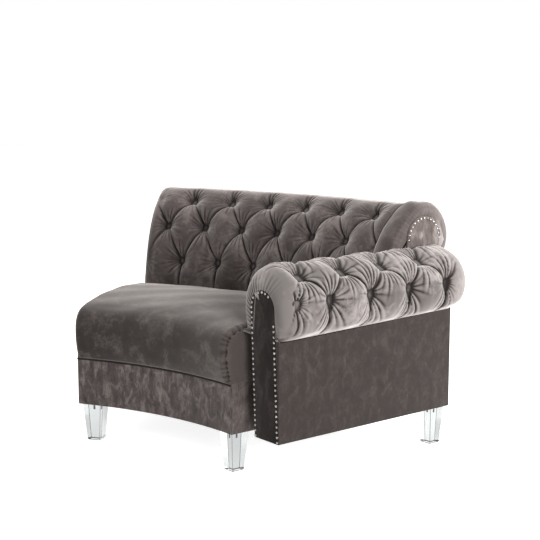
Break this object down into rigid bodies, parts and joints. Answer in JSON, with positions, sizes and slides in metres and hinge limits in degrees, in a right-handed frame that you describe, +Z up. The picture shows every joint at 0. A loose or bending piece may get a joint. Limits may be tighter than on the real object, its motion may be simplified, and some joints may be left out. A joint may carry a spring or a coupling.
{
  "type": "sectional sofa module",
  "caption": "Curved end module of a tufted sectional sofa with a rolled arm, a rolled button back, a tight crowned seat, nailhead trim and clear tapered legs.",
  "frame": {"origin": "middle of the footprint's box, on the floor under the legs", "axes": "+X towards the arm, +Y towards the back, +Z up; a person sits facing -Y"},
  "size_m": [1.3426, 1.067, 0.82],
  "materials": {
    "clear_plastic": "clear polished acrylic",
    "steel": "zinc-plated steel",
    "frame_wood": "bare sawn hardwood and plywood",
    "lining": "thin black lining cloth",
    "webbing": "woven strap",
    "burlap": "coarse open weave",
    "foam": "open-cell foam",
    "cover_velvet": "dark warm grey velvet with a short pile",
    "nail_metal": "polished domed nail heads"
  },
  "bodies": {
    "root": {"leg_front_left": "clear_plastic", "leg_rear_left": "clear_plastic", "leg_front_right": "clear_plastic", "leg_rear_right": "clear_plastic", "leg_studs": "steel", "leg_t_nuts": "steel", "arm_bolts": "steel", "front_rail": "frame_wood", "back_rail": "frame_wood", "left_end_rail": "frame_wood", "right_end_rail": "frame_wood", "seat_stretchers": "frame_wood", "corner_blocks": "frame_wood", "arm_front_board": "frame_wood", "arm_rear_board": "frame_wood", "arm_bottom_rail": "frame_wood", "arm_outer_rail": "frame_wood", "arm_inner_rail": "frame_wood", "arm_top_rail": "frame_wood", "arm_spacers": "frame_wood", "back_top_rail": "frame_wood", "back_waist_rail": "frame_wood", "back_upright_1": "frame_wood", "back_upright_2": "frame_wood", "back_upright_3": "frame_wood", "back_upright_4": "frame_wood", "back_end_upright": "frame_wood", "back_end_ties": "frame_wood", "dust_cover": "lining", "webbing_front_to_back": "webbing", "webbing_across": "webbing", "back_burlap": "burlap", "seat_foam": "foam", "arm_foam": "foam", "back_foam": "foam", "arm_inner_pad": "foam", "seat_cover": "cover_velvet", "front_rail_cover": "cover_velvet", "right_return_cover": "cover_velvet", "left_end_cover": "cover_velvet", "seat_welt": "cover_velvet", "arm_tufted_roll": "cover_velvet", "arm_front_panel": "cover_velvet", "arm_rear_panel": "cover_velvet", "arm_outside_panel": "cover_velvet", "arm_gap_cover": "cover_velvet", "arm_buttons": "cover_velvet", "back_tufted_cover": "cover_velvet", "back_outside_panel": "cover_velvet", "back_end_outside_panel": "cover_velvet", "back_left_end_cover": "cover_velvet", "back_end_roll": "cover_velvet", "back_end_panel": "cover_velvet", "back_buttons": "cover_velvet", "arm_nailheads": "nail_metal", "back_nailheads": "nail_metal"}
  },
  "joints": []
}
